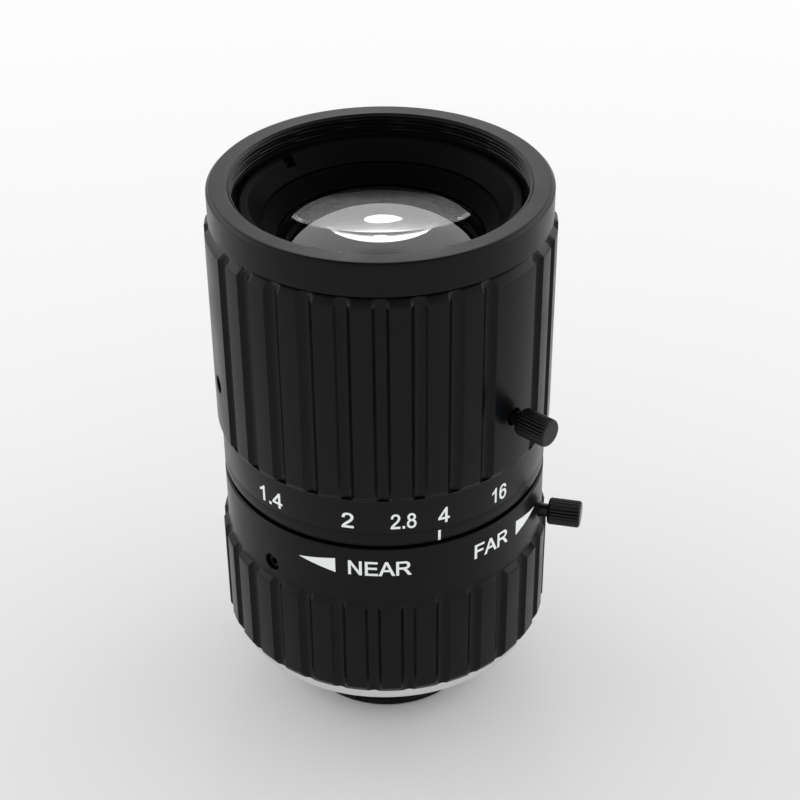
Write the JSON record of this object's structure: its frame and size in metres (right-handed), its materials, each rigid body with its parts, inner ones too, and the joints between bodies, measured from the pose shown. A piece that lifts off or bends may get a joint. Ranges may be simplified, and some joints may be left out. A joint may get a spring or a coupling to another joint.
{
  "type": "c-mount machine vision lens",
  "caption": "Fixed focal length machine vision lens with a C-mount thread, fluted focus and aperture grips, lock thumbscrews, a blade iris and a threaded front hood.",
  "frame": {"origin": "on the lens axis, at the end of the mount thread, which is the face that enters the camera", "axes": "+Z along the lens axis from the mount to the front rim; -Y faces the viewer of the picture, with the aperture scale's index line 19 degrees toward +X; +X completes a right-handed frame"},
  "size_m": [0.0511, 0.0464, 0.08],
  "materials": {
    "black_anodised_aluminium": "semi-gloss black anodised aluminium",
    "bare_aluminium": "fine-turned bare aluminium",
    "matt_black_baffle": "matt black stray-light coating on fine grooves",
    "blackened_steel": "blackened steel",
    "white_nylon": "plain white nylon",
    "coated_glass": "polished optical glass with an anti-reflection coating"
  },
  "bodies": {
    "mount_barrel": {"c_mount": "black_anodised_aluminium", "rear_flange_ring": "bare_aluminium", "flange_screw_1": "blackened_steel", "flange_screw_2": "blackened_steel", "flange_screw_3": "blackened_steel", "fixed_barrel": "black_anodised_aluminium", "focus_retaining_ring": "black_anodised_aluminium"},
    "focus_ring": {"focus_ring": "black_anodised_aluminium", "focus_grub_screw_1": "blackened_steel", "focus_grub_screw_2": "blackened_steel"},
    "focus_pad": {"focus_lock_pad": "white_nylon"},
    "focus_thumbscrew": {"focus_lock_screw": "black_anodised_aluminium"},
    "front_barrel": {"front_barrel": "black_anodised_aluminium", "index_ring": "black_anodised_aluminium", "front_hood": "black_anodised_aluminium", "front_retaining_ring": "black_anodised_aluminium", "front_baffle": "matt_black_baffle", "cam_pin_1": "blackened_steel", "cam_pin_2": "blackened_steel", "cam_pin_3": "blackened_steel", "front_cell": "black_anodised_aluminium", "front_lens": "coated_glass", "front_spacer": "black_anodised_aluminium", "second_lens": "coated_glass", "inner_spacer": "black_anodised_aluminium", "third_lens": "coated_glass", "iris_base": "black_anodised_aluminium", "rear_cell": "black_anodised_aluminium", "fourth_lens": "coated_glass", "rear_spacer": "black_anodised_aluminium", "fifth_lens": "coated_glass", "rear_lens": "coated_glass", "rear_retaining_ring": "black_anodised_aluminium", "cell_retaining_ring": "black_anodised_aluminium"},
    "aperture_ring": {"aperture_ring": "black_anodised_aluminium", "iris_drive_screw_1": "blackened_steel", "iris_drive_screw_2": "blackened_steel", "iris_cam_ring": "black_anodised_aluminium"},
    "aperture_pad": {"aperture_lock_pad": "white_nylon"},
    "aperture_thumbscrew": {"aperture_lock_screw": "black_anodised_aluminium"},
    "iris_blade_1": {"iris_blade_1": "blackened_steel"},
    "iris_blade_2": {"iris_blade_2": "blackened_steel"},
    "iris_blade_3": {"iris_blade_3": "blackened_steel"},
    "iris_blade_4": {"iris_blade_4": "blackened_steel"},
    "iris_blade_5": {"iris_blade_5": "blackened_steel"},
    "iris_blade_6": {"iris_blade_6": "blackened_steel"}
  },
  "joints": [
    {"name": "focus_turn", "type": "hinge", "parent": "mount_barrel", "child": "focus_ring", "pos_m": [0, 0, 0.025], "axis": [0, 0, -1], "range_deg": [0, 150]},
    {"name": "barrel_travel", "type": "slide", "parent": "mount_barrel", "child": "front_barrel", "axis": [0, 0, 1], "range_m": [0, 0.0045]},
    {"name": "focus_lock_travel", "type": "slide", "parent": "focus_ring", "child": "focus_pad", "axis": [0.9744, -0.225, 0], "range_m": [0, 0.0009]},
    {"name": "focus_lock_turn", "type": "hinge", "parent": "focus_pad", "child": "focus_thumbscrew", "pos_m": [0.02309, -0.00533, 0.0304], "axis": [0.9744, -0.225, 0], "range_deg": [0, 720]},
    {"name": "aperture_turn", "type": "hinge", "parent": "front_barrel", "child": "aperture_ring", "pos_m": [0, 0, 0.0577], "axis": [0, 0, 1], "range_deg": [-24, 60.7]},
    {"name": "aperture_lock_travel", "type": "slide", "parent": "aperture_ring", "child": "aperture_pad", "axis": [0.7431, -0.6691, 0], "range_m": [0, 0.0009]},
    {"name": "aperture_lock_turn", "type": "hinge", "parent": "aperture_pad", "child": "aperture_thumbscrew", "pos_m": [0.01802, -0.01623, 0.0533], "axis": [0.7431, -0.6691, 0], "range_deg": [0, 720]},
    {"name": "blade_1_turn", "type": "hinge", "parent": "front_barrel", "child": "iris_blade_1", "pos_m": [0.014, 0, 0.0475], "axis": [0, 0, 1], "range_deg": [-9.7, 24.5]},
    {"name": "blade_2_turn", "type": "hinge", "parent": "front_barrel", "child": "iris_blade_2", "pos_m": [0.007, 0.01212, 0.0475], "axis": [0, 0, 1], "range_deg": [-9.7, 24.5]},
    {"name": "blade_3_turn", "type": "hinge", "parent": "front_barrel", "child": "iris_blade_3", "pos_m": [-0.007, 0.01212, 0.0475], "axis": [0, 0, 1], "range_deg": [-9.7, 24.5]},
    {"name": "blade_4_turn", "type": "hinge", "parent": "front_barrel", "child": "iris_blade_4", "pos_m": [-0.014, 0, 0.0475], "axis": [0, 0, 1], "range_deg": [-9.7, 24.5]},
    {"name": "blade_5_turn", "type": "hinge", "parent": "front_barrel", "child": "iris_blade_5", "pos_m": [-0.007, -0.01212, 0.0475], "axis": [0, 0, 1], "range_deg": [-9.7, 24.5]},
    {"name": "blade_6_turn", "type": "hinge", "parent": "front_barrel", "child": "iris_blade_6", "pos_m": [0.007, -0.01212, 0.0475], "axis": [0, 0, 1], "range_deg": [-9.7, 24.5]}
  ],
  "couplings": [
    {"joint": "focus_turn", "follows": "barrel_travel", "rad_per_m": 581.77},
    {"joint": "focus_lock_turn", "follows": "focus_lock_travel", "rad_per_m": 13962},
    {"joint": "aperture_lock_turn", "follows": "aperture_lock_travel", "rad_per_m": 13962},
    {"joint": "blade_1_turn", "follows": "aperture_turn", "ratio": 0.402},
    {"joint": "blade_2_turn", "follows": "aperture_turn", "ratio": 0.402},
    {"joint": "blade_3_turn", "follows": "aperture_turn", "ratio": 0.402},
    {"joint": "blade_4_turn", "follows": "aperture_turn", "ratio": 0.402},
    {"joint": "blade_5_turn", "follows": "aperture_turn", "ratio": 0.402},
    {"joint": "blade_6_turn", "follows": "aperture_turn", "ratio": 0.402}
  ]
}
